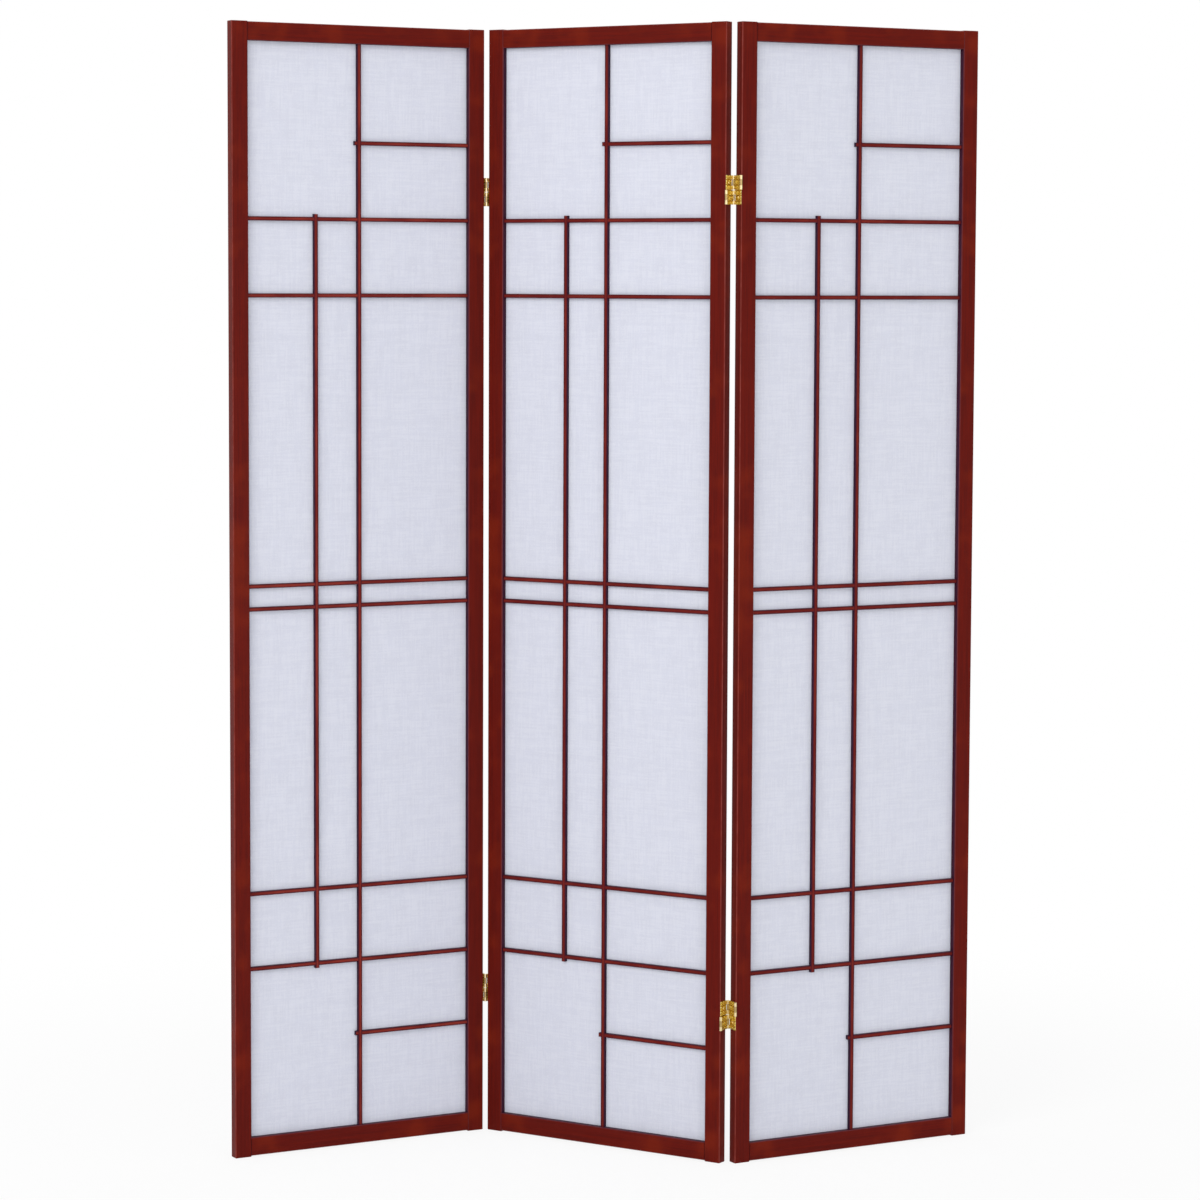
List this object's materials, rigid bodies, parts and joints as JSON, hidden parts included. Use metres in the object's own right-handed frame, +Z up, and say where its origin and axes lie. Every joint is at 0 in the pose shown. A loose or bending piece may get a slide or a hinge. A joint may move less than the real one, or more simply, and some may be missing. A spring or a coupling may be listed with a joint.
{
  "type": "folding screen",
  "caption": "Folding room divider of hinged wooden frames with half-lapped lattice bars over translucent paper, joined by two-way edge hinges.",
  "frame": {"origin": "on the floor under the middle of the centre panel, which is also the centre of the bounding box's base", "axes": "+Z up, +X to the right along the screen, -Y towards the viewer of the lattice side"},
  "size_m": [1.1766, 0.2524, 1.784],
  "materials": {
    "frame_wood": "cherry-stained solid wood under satin lacquer",
    "lattice_wood": "cherry-stained strips under satin lacquer",
    "paper": "laminated fibre paper, matt and translucent",
    "hinge_brass": "bright brass plate with a stamped scroll pattern"
  },
  "bodies": {
    "centre_panel": {"centre_panel_bottom_rail": "frame_wood", "centre_panel_crossbars": "lattice_wood", "centre_panel_left_stile": "frame_wood", "centre_panel_long_upright": "lattice_wood", "centre_panel_paper": "paper", "centre_panel_right_stile": "frame_wood", "centre_panel_short_crossbars": "lattice_wood", "centre_panel_short_upright": "lattice_wood", "centre_panel_top_rail": "frame_wood", "left_joint_lower_hinge_leaf_on_centre_panel": "hinge_brass", "left_joint_lower_hinge_lower_link": "hinge_brass", "left_joint_upper_hinge_leaf_on_centre_panel": "hinge_brass", "left_joint_upper_hinge_lower_link": "hinge_brass", "right_joint_lower_hinge_leaf_on_centre_panel": "hinge_brass", "right_joint_lower_hinge_lower_link": "hinge_brass", "right_joint_upper_hinge_leaf_on_centre_panel": "hinge_brass", "right_joint_upper_hinge_lower_link": "hinge_brass"},
    "left_panel": {"left_joint_lower_hinge_leaf_on_left_panel": "hinge_brass", "left_joint_lower_hinge_upper_link": "hinge_brass", "left_joint_upper_hinge_leaf_on_left_panel": "hinge_brass", "left_joint_upper_hinge_upper_link": "hinge_brass", "left_panel_bottom_rail": "frame_wood", "left_panel_crossbars": "lattice_wood", "left_panel_left_stile": "frame_wood", "left_panel_long_upright": "lattice_wood", "left_panel_paper": "paper", "left_panel_right_stile": "frame_wood", "left_panel_short_crossbars": "lattice_wood", "left_panel_short_upright": "lattice_wood", "left_panel_top_rail": "frame_wood"},
    "right_panel": {"right_joint_lower_hinge_leaf_on_right_panel": "hinge_brass", "right_joint_lower_hinge_upper_link": "hinge_brass", "right_joint_upper_hinge_leaf_on_right_panel": "hinge_brass", "right_joint_upper_hinge_upper_link": "hinge_brass", "right_panel_bottom_rail": "frame_wood", "right_panel_crossbars": "lattice_wood", "right_panel_left_stile": "frame_wood", "right_panel_long_upright": "lattice_wood", "right_panel_paper": "paper", "right_panel_right_stile": "frame_wood", "right_panel_short_crossbars": "lattice_wood", "right_panel_short_upright": "lattice_wood", "right_panel_top_rail": "frame_wood"}
  },
  "joints": [
    {"name": "left_fold", "type": "hinge", "parent": "centre_panel", "child": "left_panel", "pos_m": [-0.19566, 0.10444, 0], "axis": [0, 0, 1], "range_deg": [-60.5, 119.5]},
    {"name": "right_fold", "type": "hinge", "parent": "centre_panel", "child": "right_panel", "pos_m": [0.19566, -0.10444, 0], "axis": [0, 0, 1], "range_deg": [-60.5, 119.5]}
  ]
}
